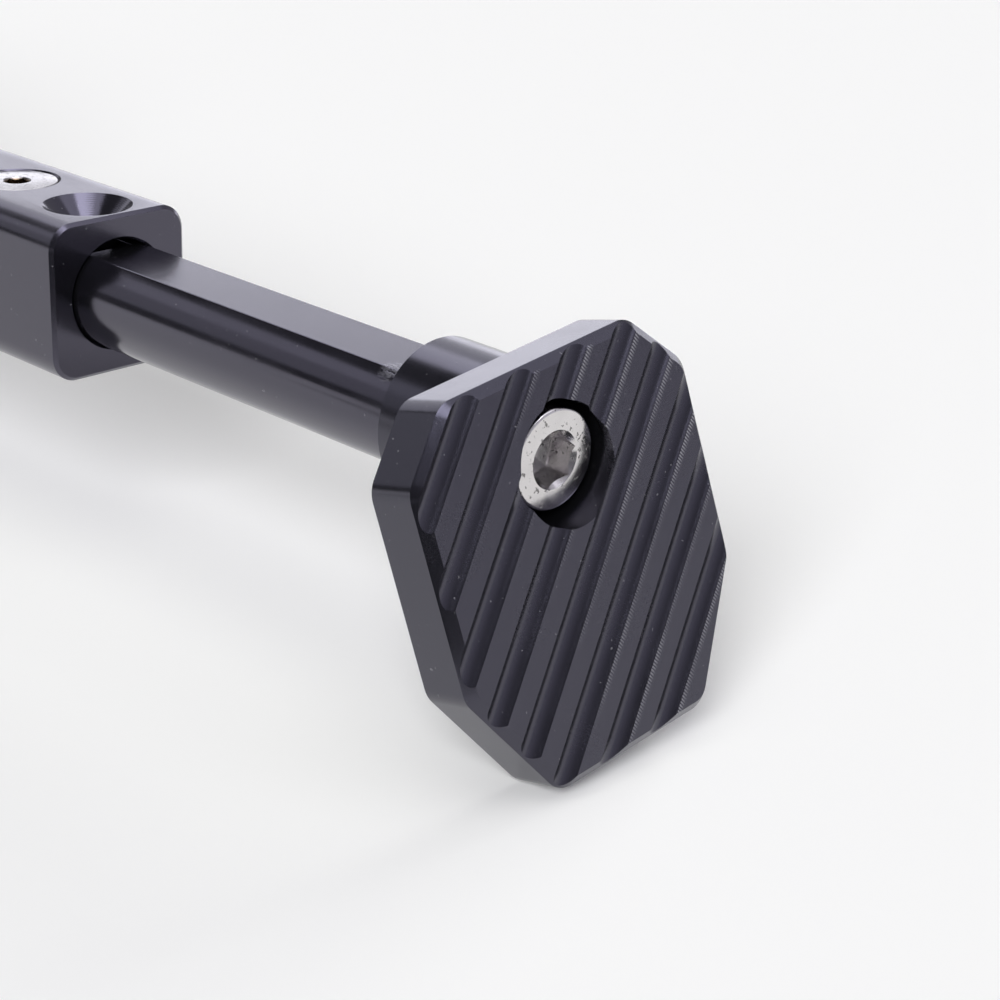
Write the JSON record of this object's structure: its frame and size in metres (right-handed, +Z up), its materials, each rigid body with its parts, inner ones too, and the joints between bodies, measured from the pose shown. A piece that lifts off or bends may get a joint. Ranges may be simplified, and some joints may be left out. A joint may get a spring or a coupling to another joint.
{
  "type": "adjustable kickstand",
  "caption": "Folding bicycle kickstand with a square leg, a clamped sliding bar that sets its length, and a grooved tilted foot that swivels on the bar.",
  "frame": {"origin": "centre of the bracket's mounting face, half way between its two bolt holes", "axes": "+X along the folded leg towards the foot, +Z up out of the mounting face, the pivot's axis along Y"},
  "size_m": [0.316, 0.0586, 0.0636],
  "materials": {
    "anodised_bracket": "black anodised, satin",
    "anodised_leg": "black anodised, satin",
    "anodised_rod": "black anodised, satin",
    "anodised_foot": "black anodised, milled",
    "stainless": "plain stainless",
    "spring_steel": "bright spring wire",
    "bush_polymer": "matte",
    "bumper_rubber": "matte"
  },
  "bodies": {
    "bracket": {"mount_bracket": "anodised_bracket", "pivot_bolt": "stainless", "pivot_washer": "stainless", "pivot_nut": "stainless", "stop_pin": "stainless", "bumper": "bumper_rubber", "spring_post_frame": "stainless", "return_spring": "spring_steel"},
    "leg": {"leg_upper": "anodised_leg", "pivot_bush_left": "bush_polymer", "pivot_bush_right": "bush_polymer", "spring_post_leg": "stainless", "clamp_screw_lower": "stainless", "clamp_screw_upper": "stainless", "slide_nut_lower": "stainless", "slide_nut_upper": "stainless"},
    "rod": {"leg_rod": "anodised_rod", "slot_stop_screw": "stainless", "foot_bolt": "stainless"},
    "foot": {"foot": "anodised_foot"}
  },
  "joints": [
    {"name": "leg_pivot", "type": "hinge", "parent": "bracket", "child": "leg", "pos_m": [0, 0, -0.026], "axis": [0, 1, 0], "range_deg": [0, 105], "deforming": ["return_spring"]},
    {"name": "rod_slide", "type": "slide", "parent": "leg", "child": "rod", "axis": [1, 0, 0], "range_m": [-0.017, 0.025]},
    {"name": "foot_swivel", "type": "hinge", "parent": "rod", "child": "foot", "pos_m": [0.2535, 0, -0.026], "axis": [1, 0, 0], "continuous": true}
  ]
}
